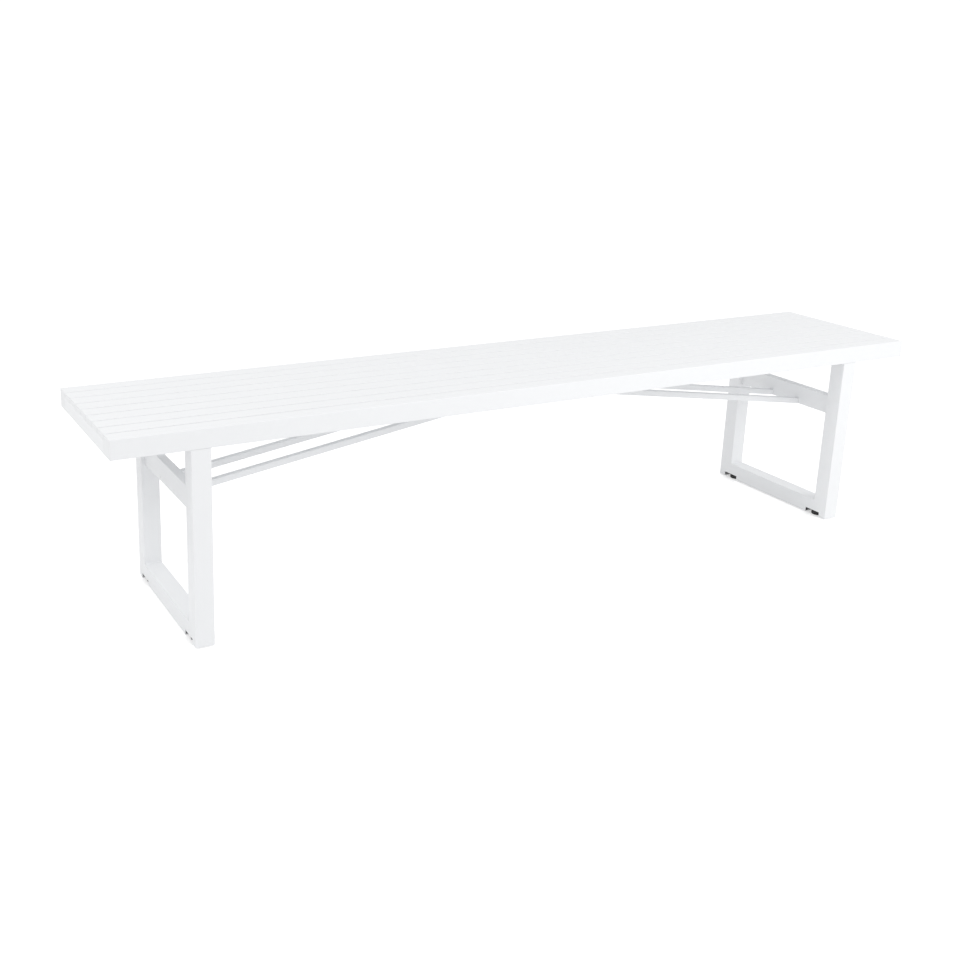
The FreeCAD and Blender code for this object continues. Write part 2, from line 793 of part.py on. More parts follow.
def glide_pad(label):
    """A moulded disc with a neck and grip flutes, and a blind hole for the stud."""
    body = new_body(label)
    profile = sketch_on(body, "XZ_Plane", "profile")
    radius = cell("glide_radius")
    chamfer = cell("glide_chamfer")
    draw_outline(profile, [
        (0, 0), (radius - chamfer, 0), (radius, chamfer), (radius, cell("glide_rim")),
        (cell("glide_neck_radius"), pad_height), (stud_radius, pad_height),
        (stud_radius, cell("stud_seat")), (0, cell("stud_seat")),
    ])
    turned = body.newObject("PartDesign::Revolution", "turned")
    turned.Profile = profile
    turned.ReferenceAxis = (profile, ["V_Axis"])
    turned.Angle = 360
    body.Tip = turned
    doc.recompute()
    flute_sketch = sketch_on(body, "XY_Plane", "flute")
    draw_circle(flute_sketch, radius + cell("flute_radius") / 2, 0, cell("flute_radius"))
    flute = pocket(body, flute_sketch, pad_height, both_ways=False, along_normal=True)
    flutes = body.newObject("PartDesign::PolarPattern", "flutes")
    flutes.Originals = [flute]
    flutes.Axis = (flute_sketch, ["N_Axis"])
    flutes.Angle = 360
    flutes.Occurrences = int(cell("glide_flutes").number)
    body.Tip = flutes
    doc.recompute()
    return body


def glide_stud(label):
    """The threaded rod above the pad, with a chamfered tip."""
    body = new_body(label)
    profile = sketch_on(body, "XZ_Plane", "profile")
    foot = cell("stud_seat")
    tip = foot + cell("stud_length")
    bevel = cell("stud_tip")
    draw_outline(profile, [
        (0, foot), (stud_radius, foot), (stud_radius, tip - bevel), (stud_radius - bevel, tip), (0, tip),
    ])
    turned = body.newObject("PartDesign::Revolution", "turned")
    turned.Profile = profile
    turned.ReferenceAxis = (profile, ["V_Axis"])
    turned.Angle = 360
    body.Tip = turned
    doc.recompute()
    return body


housings, glide_nuts = [], []
for side_name, side in SIDES:
    for row_name, row_sign in ROWS:
        name = f"{side_name}_{row_name}_glide"
        x = side * leg_x
        y = row_sign * glide_y
        keep(place(glide_pad(f"{name}_pad"), x=x, y=y))
        keep(place(glide_stud(f"{name}_stud"), x=x, y=y))
        housings.append(place(glide_housing(f"{name}_housing"), x=x, y=y, z=housing_z))
        nut = hex_nut(f"{name}_nut", leg_bolt_flats, stud_bore, leg_nut_height)
        glide_nuts.append(place(nut, x=x, y=y, z=housing_z + cell("housing_drop")))
group("glide_housings", housings)
group("glide_nuts", glide_nuts)

# ------------------------------------------------------------------------- check and write

doc.recompute()
for item in doc.Objects:
    if "Invalid" in item.State or "Error" in item.State:
        raise RuntimeError(f"{item.Label} did not recompute")

os.makedirs("parts", exist_ok=True)
for piece in nodes:
    shape = piece.Shape
    if shape.isNull() or not shape.isValid() or not shape.Solids:
        raise RuntimeError(f"{piece.Label} has no sound shape")
    shape.exportStep(f"parts/{piece.Label}.step")
print(f"{len(nodes)} nodes, seat {seat_length.number:.0f} x {seat_depth.number:.0f} mm")
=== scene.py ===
import math
import bmesh
import bpy
from mathutils import Matrix, Vector


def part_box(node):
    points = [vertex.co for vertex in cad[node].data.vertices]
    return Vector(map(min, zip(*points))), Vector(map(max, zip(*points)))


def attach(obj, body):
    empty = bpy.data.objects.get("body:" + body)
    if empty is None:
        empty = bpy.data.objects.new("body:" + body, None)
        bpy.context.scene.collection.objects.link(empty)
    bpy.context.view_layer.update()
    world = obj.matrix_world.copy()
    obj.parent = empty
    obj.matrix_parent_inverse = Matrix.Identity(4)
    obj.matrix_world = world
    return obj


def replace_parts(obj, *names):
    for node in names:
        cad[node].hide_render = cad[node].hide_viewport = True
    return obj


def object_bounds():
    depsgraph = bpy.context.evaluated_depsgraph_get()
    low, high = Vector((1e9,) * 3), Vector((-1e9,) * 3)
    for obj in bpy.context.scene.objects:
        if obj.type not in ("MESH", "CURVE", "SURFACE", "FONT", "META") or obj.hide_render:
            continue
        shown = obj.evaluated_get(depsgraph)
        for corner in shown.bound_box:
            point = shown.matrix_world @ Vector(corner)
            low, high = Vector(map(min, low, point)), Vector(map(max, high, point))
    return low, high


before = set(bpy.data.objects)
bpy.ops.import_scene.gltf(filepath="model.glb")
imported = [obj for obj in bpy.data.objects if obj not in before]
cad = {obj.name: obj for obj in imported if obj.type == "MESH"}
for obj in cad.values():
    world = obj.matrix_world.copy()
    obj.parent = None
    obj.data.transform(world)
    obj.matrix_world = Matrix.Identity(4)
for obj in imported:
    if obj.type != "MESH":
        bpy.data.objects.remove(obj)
cad_low, cad_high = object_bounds()
scene = bpy.context.scene
MM = 0.001

# ------------------------------------------------------------------ front and back rails
# The two long rails are 40 mm square aluminium tube, cut to the length of the seat. They are
# degreased, sprayed with white polyester powder and baked, which leaves a satin skin with a
# faint orange peel.


def new_effect(name, inputs, outputs):
    """A node group with named sockets, for an effect that several finishes share."""
    effect = bpy.data.node_groups.new(name, "ShaderNodeTree")
    for label, kind, value in inputs:
        socket = effect.interface.new_socket(name=label, in_out="INPUT", socket_type=kind)
        socket.default_value = value
    for label, kind in outputs:
        effect.interface.new_socket(name=label, in_out="OUTPUT", socket_type=kind)
    return effect, effect.nodes.new("NodeGroupInput"), effect.nodes.new("NodeGroupOutput")


def add_node(tree, kind, values=(), **settings):
    """A node with its settings, and the values of its unlinked sockets."""
    node = tree.nodes.new(kind)
    for name, value in settings.items():
        setattr(node, name, value)
    for socket, value in dict(values).items():
        node.inputs[socket].default_value = value
    return node


def do_math(tree, operation, first, second):
    """A Math node. Each operand is a socket or a number."""
    node = add_node(tree, "ShaderNodeMath", operation=operation)
    for index, operand in enumerate((first, second)):
        if isinstance(operand, (int, float)):
            node.inputs[index].default_value = operand
        else:
            tree.links.new(operand, node.inputs[index])
    return node.outputs[0]


def stretch(tree, value, low, high, new_low, new_high):
    """Maps a value from one range to another, and holds it inside the new one."""
    node = add_node(tree, "ShaderNodeMapRange", {1: low, 2: high, 3: new_low, 4: new_high})
    tree.links.new(value, node.inputs[0])
    return node.outputs[0]


def place_noise(tree, per_metre, detail, roughness=0.5):
    """Noise that is fixed to the piece. Its scale is a socket or a number, in lumps per metre."""
    spot = add_node(tree, "ShaderNodeTexCoord")
    noise = add_node(tree, "ShaderNodeTexNoise", {"Detail": detail, "Roughness": roughness})
    tree.links.new(spot.outputs["Object"], noise.inputs["Vector"])
    if isinstance(per_metre, (int, float)):
        noise.inputs["Scale"].default_value = per_metre
    else:
        tree.links.new(per_metre, noise.inputs["Scale"])
    return noise.outputs["Fac"]


FLOAT = "NodeSocketFloat"
COLOUR = "NodeSocketColor"

# the skin of a sprayed or moulded surface: lumps of one size, and pinholes between them
skin_effect, skin_in, skin_out = new_effect(
    "surface_skin",
    [
        ("Lumps per metre", FLOAT, 500.0), ("Grit per metre", FLOAT, 2500.0),
        ("Grit share", FLOAT, 0.2),
    ],
    [("Height", FLOAT), ("Gloss shift", FLOAT)],
)
skin_lumps = place_noise(skin_effect, skin_in.outputs["Lumps per metre"], 1.5)
skin_grit = place_noise(skin_effect, skin_in.outputs["Grit per metre"], 2.0, 0.6)
skin_mixed = do_math(
    skin_effect, "ADD", skin_lumps,
    do_math(skin_effect, "MULTIPLY", skin_grit, skin_in.outputs["Grit share"]),
)
skin_effect.links.new(skin_mixed, skin_out.inputs["Height"])
skin_patches = place_noise(skin_effect, 14.0, 3.0, 0.55)
skin_effect.links.new(
    stretch(skin_effect, skin_patches, 0.3, 0.7, -1.0, 1.0), skin_out.inputs["Gloss shift"]
)

# edges, where powder pulls thin and hands rub: the mask follows how sharply the surface turns
edge_effect, edge_in, edge_out = new_effect(
    "thin_edges", [("Reach", FLOAT, 0.0012), ("Strength", FLOAT, 1.0)], [("Mask", FLOAT)]
)
edge_round = add_node(edge_effect, "ShaderNodeBevel", samples=4)
edge_effect.links.new(edge_in.outputs["Reach"], edge_round.inputs["Radius"])
edge_surface = add_node(edge_effect, "ShaderNodeNewGeometry")
edge_dot = add_node(edge_effect, "ShaderNodeVectorMath", operation="DOT_PRODUCT")
edge_effect.links.new(edge_round.outputs["Normal"], edge_dot.inputs[0])
edge_effect.links.new(edge_surface.outputs["Normal"], edge_dot.inputs[1])
edge_bend = stretch(edge_effect, edge_dot.outputs["Value"], 0.995, 0.80, 0.0, 1.0)
edge_break = stretch(edge_effect, place_noise(edge_effect, 160.0, 4.0, 0.6), 0.42, 0.62, 0.15, 1.0)
edge_effect.links.new(
    do_math(
        edge_effect, "MULTIPLY",
        do_math(edge_effect, "MULTIPLY", edge_bend, edge_break), edge_in.outputs["Strength"],
    ),
    edge_out.inputs["Mask"],
)

# dust from packing and the yard: a film on faces that look up, thicker in patches
dust_effect, dust_in, dust_out = new_effect(
    "settled_dust", [("Amount", FLOAT, 0.2)], [("Mask", FLOAT)]
)
dust_surface = add_node(dust_effect, "ShaderNodeNewGeometry")
dust_split = add_node(dust_effect, "ShaderNodeSeparateXYZ")
dust_effect.links.new(dust_surface.outputs["Normal"], dust_split.inputs[0])
dust_up = stretch(dust_effect, dust_split.outputs["Z"], 0.2, 0.95, 0.0, 1.0)
dust_patch = stretch(dust_effect, place_noise(dust_effect, 22.0, 6.0, 0.62), 0.45, 0.72, 0.1, 1.0)
dust_effect.links.new(
    do_math(
        dust_effect, "MULTIPLY",
        do_math(dust_effect, "MULTIPLY", dust_up, dust_patch), dust_in.outputs["Amount"],
    ),
    dust_out.inputs["Mask"],
)


def mix_colour(tree, mask, below, above):
    """Lays one colour over another through a mask. Each colour is a socket or three numbers."""
    node = add_node(tree, "ShaderNodeMix", data_type="RGBA")
    tree.links.new(mask, node.inputs[0])
    for index, colour in ((6, below), (7, above)):
        if isinstance(colour, tuple):
            node.inputs[index].default_value = (*colour, 1.0)
        else:
            tree.links.new(colour, node.inputs[index])
    return node.outputs[2]


DUST_ROUGHENING = 0.35       # how much rougher a full film of dust makes a surface


def new_finish(
    name, colour, patch_colour, edge_colour, dust_colour, roughness, roughness_shift, lumps, grit,
    grit_share, bump, edge_strength=0.5, dust_amount=0.15, edge_reach=0.0012, **shader_values,
):
    """A finish made of the three shared effects. Sizes are per metre, and bump is in metres."""
    finish = bpy.data.materials.new(name)
    finish.use_nodes = True
    tree = finish.node_tree
    shader = tree.nodes["Principled BSDF"]
    for label, value in shader_values.items():
        shader.inputs[label.replace("_", " ")].default_value = value
    skin = add_node(tree, "ShaderNodeGroup", node_tree=skin_effect)
    skin.inputs["Lumps per metre"].default_value = lumps
    skin.inputs["Grit per metre"].default_value = grit
    skin.inputs["Grit share"].default_value = grit_share
    edges = add_node(tree, "ShaderNodeGroup", node_tree=edge_effect)
    edges.inputs["Reach"].default_value = edge_reach
    edges.inputs["Strength"].default_value = edge_strength
    dust = add_node(tree, "ShaderNodeGroup", node_tree=dust_effect)
    dust.inputs["Amount"].default_value = dust_amount
    patches = stretch(tree, skin.outputs["Gloss shift"], -1.0, 1.0, 0.0, 1.0)
    base = mix_colour(tree, patches, colour, patch_colour)
    rubbed = mix_colour(tree, edges.outputs["Mask"], base, edge_colour)
    dusty = mix_colour(tree, dust.outputs["Mask"], rubbed, dust_colour)
    tree.links.new(dusty, shader.inputs["Base Color"])
    shift = do_math(tree, "MULTIPLY", skin.outputs["Gloss shift"], roughness_shift)
    dulled = do_math(tree, "MULTIPLY", dust.outputs["Mask"], DUST_ROUGHENING)
    rough = do_math(tree, "ADD", do_math(tree, "ADD", shift, dulled), roughness)
    tree.links.new(rough, shader.inputs["Roughness"])
    relief = add_node(tree, "ShaderNodeBump", {"Strength": 1.0, "Distance": bump})
    tree.links.new(skin.outputs["Height"], relief.inputs["Height"])
    tree.links.new(relief.outputs["Normal"], shader.inputs["Normal"])
    return finish


powder_coat = new_finish(
    "white_powder_coat",
    colour=(0.845, 0.855, 0.868), patch_colour=(0.838, 0.848, 0.861),
    edge_colour=(0.872, 0.876, 0.88), dust_colour=(0.80, 0.795, 0.78),
    roughness=0.42, roughness_shift=0.05, lumps=420.0, grit=2600.0, grit_share=0.22, bump=0.00006,
    dust_amount=0.08,
)


def dress(finish, *names):
    """Gives CAD nodes a finish."""
    for name in names:
        for slot in cad[name].material_slots:
            slot.material = finish


dress(powder_coat, "front_rail", "back_rail")

# --------------------------------------------------------------------------- cross bearers
# Seven cross tubes, 40 by 28 mm, join the rails and carry the slats. They are cut square,
# set between the rails in a jig and welded there before the whole seat is coated.

BEARERS = (
    "left_end_bearer", "left_leg_bearer", "left_mid_bearer", "centre_bearer",
    "right_mid_bearer", "right_leg_bearer", "right_end_bearer",
)
dress(powder_coat, *BEARERS)

# ----------------------------------------------------------------------------------- slats
# Seven flat tubes, 40 by 12 mm, lie on the bearers with 3 mm between them, level with the
# tops of the rails. Short stitches of weld hold them from below, so the top stays clean.

SLATS = tuple(f"slat_{number}" for number in range(1, 8))
dress(powder_coat, *SLATS)


SHARP_ANGLE = math.radians(38)


def make_piece(name, mesh_maker, finish, body):
    """A piece whose mesh is built by mesh_maker, riding on a CAD body."""
    mesh = bpy.data.meshes.new(name)
    shape = bmesh.new()
    mesh_maker(shape)
    bmesh.ops.recalc_face_normals(shape, faces=shape.faces)
    for face in shape.faces:
        face.smooth = True
    for edge in shape.edges:
        if len(edge.link_faces) == 2 and edge.calc_face_angle() > SHARP_ANGLE:
            edge.smooth = False
    shape.to_mesh(mesh)
    shape.free()
    mesh.materials.append(finish)
    piece = bpy.data.objects.new(name, mesh)
    scene.collection.objects.link(piece)
    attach(piece, body)
    return piece


def bridge_rings(shape, rings, closed_start=True, closed_end=True):
    """Skins a row of rings of equal count, and closes the ends with a face each."""
    for near, far in zip(rings, rings[1:]):
        count = len(near)
        for i in range(count):
            j = (i + 1) % count
            shape.faces.new((near[i], near[j], far[j], far[i]))
    if closed_start:
        shape.faces.new(tuple(reversed(rings[0])))
    if closed_end:
        shape.faces.new(tuple(rings[-1]))


BEAD_PITCH = 2.1 * MM        # distance between two ripples of a weld
BEAD_SIDES = 10
BEAD_ROWS = 5                # rings of points to one ripple
MIN_BEAD_ROWS = 12
RIPPLE = 0.14                # depth of a ripple as a share of the bead's radius
RIPPLE_LEAN = 0.3            # how far a ripple's crown lags, as a share of the radius
BEAD_TIP = 0.05              # square of the radius that is left at the bead's very end


def add_bead(shape, start, end, outward, radius):
    """One weld bead: a rounded cord of filler, with crescent ripples that lean back."""
    start, end = Vector(start), Vector(end)
    outward = Vector(outward).normalized()
    run = end - start
    along = run.normalized()
    across = along.cross(outward)
    steps = max(MIN_BEAD_ROWS, round(run.length / BEAD_PITCH * BEAD_ROWS))
    rings = []
    for i in range(steps + 1):
        here = i / steps
        from_end = min(here, 1 - here) * run.length / radius
        end_round = math.sqrt(max(BEAD_TIP, 1 - max(0.0, 1 - from_end) ** 2))
        wave = abs(math.sin(math.pi * here * run.length / BEAD_PITCH))
        size = radius * end_round * (1 - RIPPLE * (1 - wave))
        centre = start + run * here
        ring = []
        for k in range(BEAD_SIDES):
            turn = 2 * math.pi * k / BEAD_SIDES
            lean = along * (radius * RIPPLE_LEAN * math.cos(turn) * end_round)
            spoke = outward * math.cos(turn) + across * math.sin(turn)
            ring.append(shape.verts.new(centre + spoke * size - lean))
        rings.append(ring)
    bridge_rings(shape, rings)


# ------------------------------------------------------------------- welds of the seat frame
# The bearers' ends are welded to the rails down both sides, and each slat is stitched from below
# to each bearer except the two at the seat's ends. The beads are aluminium filler, coated together
# with the tubes.

SEAM_RADIUS = 1.6 * MM
STITCH_RADIUS = 1.7 * MM
STITCH_HALF = 9 * MM         # half the length of a stitch
SEAM_FOOT = 3 * MM           # from a seam's lower end to the bearer's lower edge
SEAM_HEAD = 2 * MM


def seat_frame_welds(shape):
    for name in BEARERS:
        low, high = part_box(name)
        for x, side in ((low[0], -1), (high[0], 1)):
            if abs(x) > cad_high[0] - SEAM_RADIUS:     # ground flush at the seat's own ends
                continue
            for y, facing in ((low[1], 1), (high[1], -1)):
                add_bead(
                    shape, (x, y, low[2] + SEAM_FOOT), (x, y, high[2] - SEAM_HEAD),
                    (side, facing, 0), SEAM_RADIUS,
                )
    for name in BEARERS[1:-1]:
        low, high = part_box(name)
        for slat in SLATS:
            slat_low, slat_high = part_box(slat)
            middle = (slat_low[1] + slat_high[1]) / 2
            for x, side in ((low[0], -1), (high[0], 1)):
                add_bead(
                    shape, (x, middle - STITCH_HALF, high[2]), (x, middle + STITCH_HALF, high[2]),
                    (side, 0, -1), STITCH_RADIUS,
                )


make_piece("seat_frame_welds", seat_frame_welds, powder_coat, "frame")

# -------------------------------------------------------------------- plugs in the seat's ends
# Each rail and slat ends in a white polyethylene plug with a thin flange as large as the tube.
# The flange has a rounded rim and a slightly crowned face with a fine spark-eroded grain.

moulded_white = new_finish(
    "white_moulded_plastic",
    colour=(0.825, 0.835, 0.845), patch_colour=(0.815, 0.825, 0.836),
    edge_colour=(0.85, 0.853, 0.856), dust_colour=(0.76, 0.755, 0.74),
    roughness=0.5, roughness_shift=0.04, lumps=900.0, grit=4200.0, grit_share=0.5, bump=0.00004,
    edge_strength=0.3, Specular_IOR_Level=0.45,
)

CORNER_STEPS = 6


def rounded_outline(width, height, corner):
    """Points round a rectangle with round corners, in its own plane."""
    points = []
    for quarter, (sx, sy) in enumerate(((1, 1), (-1, 1), (-1, -1), (1, -1))):
        for step in range(CORNER_STEPS + 1):
            turn = math.pi / 2 * (quarter + step / CORNER_STEPS)
            points.append((
                sx * (width / 2 - corner) + corner * math.cos(turn),
                sy * (height / 2 - corner) + corner * math.sin(turn),
            ))
    return points


PLUG_SPIGOT = 14 * MM
PLUG_FLANGE = 2 * MM
PLUG_SLACK = 0.2 * MM        # between the spigot and the tube's wall
PLUG_WALL = 2 * MM
PLUG_HOLLOW_FLOOR = -1 * MM  # where the spigot's hollow ends, behind the flange
PLUG_LEAD_IN = (0.4 * MM, 1.2 * MM)
PLUG_FACE_INSET = 0.05 * MM  # keeps the flange's back edge just inside the tube's outline
PLUG_RIM = 0.7 * MM
PLUG_RIM_STEPS = 5
PLUG_CROWN = ((2.2 * MM, 0.04 * MM), (4 * MM, 0.0))    # margin from the edge, and fall there
PLUG_EDGE_FALL = 0.1 * MM
PLUG_MIN_CORNER = 0.25 * MM
TUBE_CORNER = 1.2 * MM


def add_end_plug(shape, centre, side, width, height, tube_wall):
    """One plug. It is built from the hollow of its spigot, out over the flange to the face."""
    inset = tube_wall + PLUG_SLACK
    bore = inset + PLUG_WALL
    lead_width, lead_length = PLUG_LEAD_IN
    profile = [
        (bore, PLUG_HOLLOW_FLOOR), (bore, -PLUG_SPIGOT), (inset + lead_width, -PLUG_SPIGOT),
        (inset, lead_length - PLUG_SPIGOT), (inset, 0.0), (PLUG_FACE_INSET, 0.0),
    ]
    for step in range(PLUG_RIM_STEPS + 1):
        turn = math.pi / 2 * step / PLUG_RIM_STEPS
        fall = PLUG_RIM * (1 - math.sin(turn)) + PLUG_EDGE_FALL
        profile.append((PLUG_RIM * (1 - math.cos(turn)), PLUG_FLANGE - fall))
    profile += [(margin, PLUG_FLANGE - fall) for margin, fall in PLUG_CROWN]
    rings = []
    for margin, depth in profile:
        ring = []
        round_corner = max(TUBE_CORNER - margin, PLUG_MIN_CORNER)
        for y, z in rounded_outline(width - 2 * margin, height - 2 * margin, round_corner):
            ring.append(shape.verts.new((centre[0] + side * depth, centre[1] + y, centre[2] + z)))
        rings.append(ring)
    bridge_rings(shape, rings)


def end_plug_group(node, tubes, tube_wall):
    """Plugs for both ends of every tube that the CAD node closes."""
    def build(shape):
        for tube in tubes:
            low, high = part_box(tube)
            for x, side in ((low[0], -1), (high[0], 1)):
                add_end_plug(
                    shape, (x, (low[1] + high[1]) / 2, (low[2] + high[2]) / 2), side,
                    high[1] - low[1], high[2] - low[2], tube_wall,
                )
    piece = make_piece(f"{node}_moulded", build, moulded_white, "frame")
    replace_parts(piece, node)


end_plug_group("rail_end_caps", ("front_rail", "back_rail"), tube_wall=2 * MM)
end_plug_group("slat_end_caps", SLATS, tube_wall=1.5 * MM)

# ------------------------------------------------------------------------------------- legs
# Each leg is a closed loop of the same 40 mm tube. Two posts are mitred to the bottom rail, and
# a flat tube crosses between them below the seat. A flat bar closes the top.

LEG_MEMBERS = ("front_post", "back_post", "bottom_rail", "cross_rail", "top_plate")
for leg_side in ("left", "right"):
    dress(powder_coat, *(f"{leg_side}_{member}" for member in LEG_MEMBERS))
dress(moulded_white, "post_top_plugs")

# The mitres are ground flush outside and keep a bead in the inner corner. The cross rail is
# welded all round both ends, and the top plate along both.

CORNER_RADIUS = 1.8 * MM
WELD_INSET = 2.5 * MM        # from a bead's end to the edge of the tube


def leg_welds(leg_side):
    """The maker of one leg's beads: four round each end of the cross rail, and two corners."""
    inset = WELD_INSET

    def build(shape):
        rail_low, rail_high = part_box(f"{leg_side}_cross_rail")
        bottom_low, bottom_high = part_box(f"{leg_side}_bottom_rail")
        plate_low, plate_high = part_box(f"{leg_side}_top_plate")
        for y, facing in ((rail_low[1], 1), (rail_high[1], -1)):
            for x, out in ((rail_low[0], -1), (rail_high[0], 1)):
                add_bead(
                    shape, (x, y, rail_low[2] + inset), (x, y, rail_high[2] - inset),
                    (out, facing, 0), SEAM_RADIUS,
                )
            for z, out in ((rail_low[2], -1), (rail_high[2], 1)):
                add_bead(
                    shape, (rail_low[0] + inset, y, z), (rail_high[0] - inset, y, z),
                    (0, facing, out), SEAM_RADIUS,
                )
            add_bead(
                shape, (bottom_low[0] + inset, y, bottom_high[2]),
                (bottom_high[0] - inset, y, bottom_high[2]), (0, facing, 1), CORNER_RADIUS,
            )
            add_bead(
                shape, (plate_low[0] + inset, y, plate_low[2]),
                (plate_high[0] - inset, y, plate_low[2]), (0, facing, -1), CORNER_RADIUS,
            )
    return build


for leg_side in ("left", "right"):
    make_piece(
        f"{leg_side}_leg_welds", leg_welds(leg_side), powder_coat, "frame"
    )

# ------------------------------------------------------------------- bolts that hold the legs
# Three M8 bolts per leg go up through the top plate into nuts inside the bearer. They are zinc
# plated and passivated, so the steel is a mottled bluish grey.

zinc = new_finish(
    "zinc_plated_steel",
    colour=(0.56, 0.58, 0.61), patch_colour=(0.63, 0.62, 0.585),
    edge_colour=(0.72, 0.73, 0.74), dust_colour=(0.45, 0.43, 0.40),
    roughness=0.34, roughness_shift=0.09, lumps=1500.0, grit=6000.0, grit_share=0.6, bump=0.00002,
    edge_strength=0.7, edge_reach=0.0005, Metallic=1.0,
)

HEX_SEGMENTS = 48
HEX_SIDE = math.pi / 3       # angle that one side of a hexagon takes up
CHAMFER_FACE = 0.95          # diameter of the flat face inside a chamfer, as a share of the flats
CHAMFER_ANGLE = math.radians(30)
CHAMFER_STEPS = 5
THREAD_SEGMENTS = 24
THREAD_ROWS = 6              # rows of points to one turn of a thread
THREAD_DEPTH = 0.6           # as a share of the pitch
SHANK_OVERLAP = 0.2 * MM     # how far the shank starts inside the head
M8 = {"flats": 13 * MM, "radius": 4 * MM, "pitch": 1.25 * MM}
M6 = {"flats": 10 * MM, "radius": 3 * MM, "pitch": 1.0 * MM}


def ring_point(shape, centre, radius, turn, z):
    return shape.verts.new((
        centre[0] + radius * math.cos(turn), centre[1] + radius * math.sin(turn), z,
    ))


def hex_ring(shape, centre, flats, z, limit):
    """A ring round a hexagon, cut back to a circle where the chamfer turns its corners away."""
    ring = []
    for i in range(HEX_SEGMENTS):
        turn = 2 * math.pi * i / HEX_SEGMENTS + HEX_SIDE / 2
        from_flat = turn % HEX_SIDE - HEX_SIDE / 2
        radius = min(flats / 2 / math.cos(from_flat), limit)
        ring.append(ring_point(shape, centre, radius, turn, z))
    return ring


def hex_rings(shape, centre, flats, low, high, chamfer_low, chamfer_high):
    """Rings from the bottom to the top of a hexagon, whose ends may be chamfered."""
    face = flats / 2 * CHAMFER_FACE
    corner = flats / math.sqrt(3)
    drop = (corner - face) * math.tan(CHAMFER_ANGLE)
    chamfer = [i / CHAMFER_STEPS for i in range(CHAMFER_STEPS + 1)]
    heights = [(low + drop * share, share) for share in chamfer] if chamfer_low else [(low, 1)]
    if chamfer_high:
        heights += [(high - drop * share, share) for share in reversed(chamfer)]
    else:
        heights.append((high, 1))
    return [
        hex_ring(shape, centre, flats, z, face + (corner - face) * share) for z, share in heights
    ]


def thread_rings(shape, centre, radius, low, high, pitch, bevel):
    """Rings up a threaded rod. The thread runs out over the bevel at both ends."""
    depth = THREAD_DEPTH * pitch
    rows = round((high - low) / pitch * THREAD_ROWS)
    rings = []
    for row in range(rows + 1):
        z = low + (high - low) * row / rows
        from_end = min(z - low, high - z)
        ease = min(1.0, from_end / bevel)
        ring = []
        for i in range(THREAD_SEGMENTS):
            share = i / THREAD_SEGMENTS
            wave = abs(2 * (((z - low) / pitch - share) % 1.0) - 1)
            size = radius - depth * max(wave, 1 - ease)
            ring.append(ring_point(shape, centre, size, 2 * math.pi * share, z))
        rings.append(ring)
    return rings


def add_hex_bolt(shape, centre, flats, radius, pitch, low, head_top, tip):
    """A hexagon head that hangs down, and a threaded shank that stands up from it."""
    bridge_rings(shape, hex_rings(shape, centre, flats, low, head_top, True, False))
    shank_foot = head_top - SHANK_OVERLAP
    bridge_rings(shape, thread_rings(shape, centre, radius, shank_foot, tip, pitch, pitch))


def add_hex_nut(shape, centre, flats, radius, pitch, low, high):
    """A nut chamfered on both faces, with both mouths of its bore countersunk by half a pitch."""
    outside = hex_rings(shape, centre, flats, low, high, True, True)
    bridge_rings(shape, outside, False, False)
    mouth = pitch / 2
    bore = ((low, mouth), (low + mouth, 0), (high - mouth, 0), (high, mouth))
    turns = [2 * math.pi * i / THREAD_SEGMENTS for i in range(THREAD_SEGMENTS)]
    inside = [
        [ring_point(shape, centre, radius + wider, turn, z) for turn in turns] for z, wider in bore
    ]
    bridge_rings(shape, inside, False, False)
    for end in (0, -1):
        edges = []
        for ring in (outside[end], inside[end]):
            edges += [shape.edges.get((a, b)) for a, b in zip(ring, ring[1:] + ring[:1])]
        bmesh.ops.bridge_loops(shape, edges=edges)


SAME_PLACE_DIGITS = 6        # two points whose metres agree to this many digits are one


def solid_boxes(node):
    """The low and high corner of each separate solid of a CAD node, in order of place."""
    mesh = cad[node].data
    island = list(range(len(mesh.vertices)))

    def root_of(i):
        while island[i] != i:
            island[i] = island[island[i]]
            i = island[i]
        return i

    for edge in mesh.edges:
        island[root_of(edge.vertices[0])] = root_of(edge.vertices[1])
    same_place = {}
    for vertex in mesh.vertices:
        key = tuple(round(c, SAME_PLACE_DIGITS) for c in vertex.co)
        other = same_place.setdefault(key, vertex.index)
        island[root_of(vertex.index)] = root_of(other)
    boxes = {}
    for vertex in mesh.vertices:
        place = cad[node].matrix_world @ vertex.co
        low, high = boxes.setdefault(root_of(vertex.index), (list(place), list(place)))
        for axis in range(3):
            low[axis] = min(low[axis], place[axis])
            high[axis] = max(high[axis], place[axis])
    return sorted((tuple(low), tuple(high)) for low, high in boxes.values())


def bolt_group(node, name, size, head):
    def build(shape):
        for low, high in solid_boxes(node):
            centre = ((low[0] + high[0]) / 2, (low[1] + high[1]) / 2)
            add_hex_bolt(shape, centre, **size, low=low[2], head_top=low[2] + head, tip=high[2])
    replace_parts(make_piece(name, build, zinc, "frame"), node)


def nut_group(node, name, size):
    def build(shape):
        for low, high in solid_boxes(node):
            centre = ((low[0] + high[0]) / 2, (low[1] + high[1]) / 2)
            add_hex_nut(shape, centre, **size, low=low[2], high=high[2])
    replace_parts(make_piece(name, build, zinc, "frame"), node)


bolt_group("leg_bolts", "leg_bolts_threaded", M8, head=5.3 * MM)
nut_group("leg_nuts", "leg_nuts_chamfered", M8)
dress(zinc, "leg_washers")

# ----------------------------------------------------------------------------------- braces
# Four 14 mm square tubes rise from the cross rails to a plate under the middle of the seat.
# Each lower end holds a threaded aluminium block, and a countersunk screw reaches it from the
# outer side of the cross rail. The upper ends are welded under the plate.

BRACES = tuple(f"{side}_{row}_brace" for side in ("left", "right") for row in ("front", "back"))
dress(powder_coat, *BRACES, "brace_top_plate")

